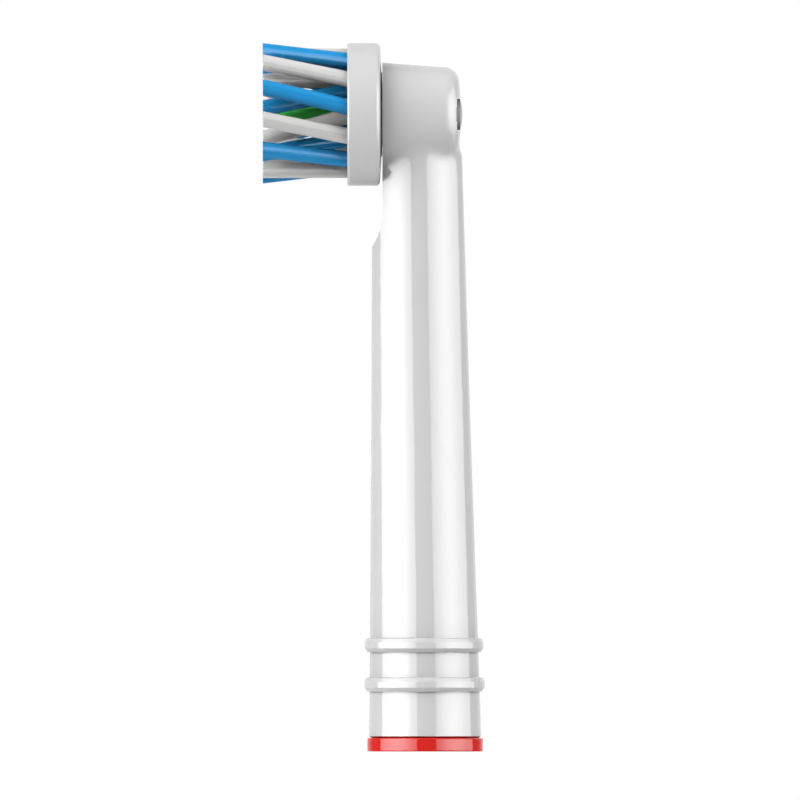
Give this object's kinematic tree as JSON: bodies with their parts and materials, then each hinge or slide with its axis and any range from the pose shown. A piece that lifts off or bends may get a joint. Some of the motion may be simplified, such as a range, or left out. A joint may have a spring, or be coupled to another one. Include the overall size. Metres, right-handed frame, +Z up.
{
  "type": "electric toothbrush head",
  "caption": "Electric toothbrush head: tapered white stem with ribs and a red foot ring, a round oscillating disc of leaning bristle tufts, and the drive shaft that rocks it.",
  "frame": {"origin": "centre of the ring's bottom face, on the stem's axis, at the mouth of the handle socket", "axes": "+Z up the stem's axis, bristles towards -X, the disc turns about X"},
  "size_m": [0.0229, 0.0148, 0.0731],
  "materials": {
    "white_plastic": "glossy moulded",
    "disc_plastic": "satin moulded",
    "red_plastic": "glossy moulded",
    "sleeve_plastic": "satin moulded",
    "shaft_plastic": "satin moulded",
    "steel": "ground",
    "pin_steel": "ground, domed head",
    "anchor_metal": "stamped",
    "bristle_blue": "drawn filament",
    "bristle_white": "drawn filament",
    "bristle_green": "drawn filament"
  },
  "bodies": {
    "housing": {"stem_housing": "white_plastic", "colour_ring": "red_plastic", "base_sleeve": "sleeve_plastic"},
    "drive": {"drive_shaft": "shaft_plastic", "crank_pin": "steel"},
    "brush": {"brush_disc": "disc_plastic", "axle_pin": "pin_steel", "tuft_anchors": "anchor_metal", "tuft_outer_01": "bristle_blue", "tuft_outer_02": "bristle_white", "tuft_outer_03": "bristle_blue", "tuft_outer_04": "bristle_white", "tuft_outer_05": "bristle_blue", "tuft_outer_06": "bristle_white", "tuft_outer_07": "bristle_blue", "tuft_outer_08": "bristle_white", "tuft_outer_09": "bristle_blue", "tuft_outer_10": "bristle_white", "tuft_outer_11": "bristle_blue", "tuft_outer_12": "bristle_white", "tuft_inner_01": "bristle_white", "tuft_inner_02": "bristle_blue", "tuft_inner_03": "bristle_white", "tuft_inner_04": "bristle_blue", "tuft_inner_05": "bristle_white", "tuft_inner_06": "bristle_blue", "tuft_inner_07": "bristle_white", "tuft_inner_08": "bristle_blue", "tuft_core_01": "bristle_green", "tuft_core_02": "bristle_green"}
  },
  "joints": [
    {"name": "disc_oscillation", "type": "hinge", "parent": "housing", "child": "brush", "pos_m": [-0.006, 0, 0.06568], "axis": [1, 0, 0], "range_deg": [-22.5, 22.5]},
    {"name": "shaft_rock", "type": "hinge", "parent": "housing", "child": "drive", "pos_m": [0, 0, 0.0365], "axis": [0, 0, 1], "range_deg": [-30, 30]}
  ],
  "couplings": [
    {"joint": "shaft_rock", "follows": "disc_oscillation", "ratio": -1.3333}
  ]
}
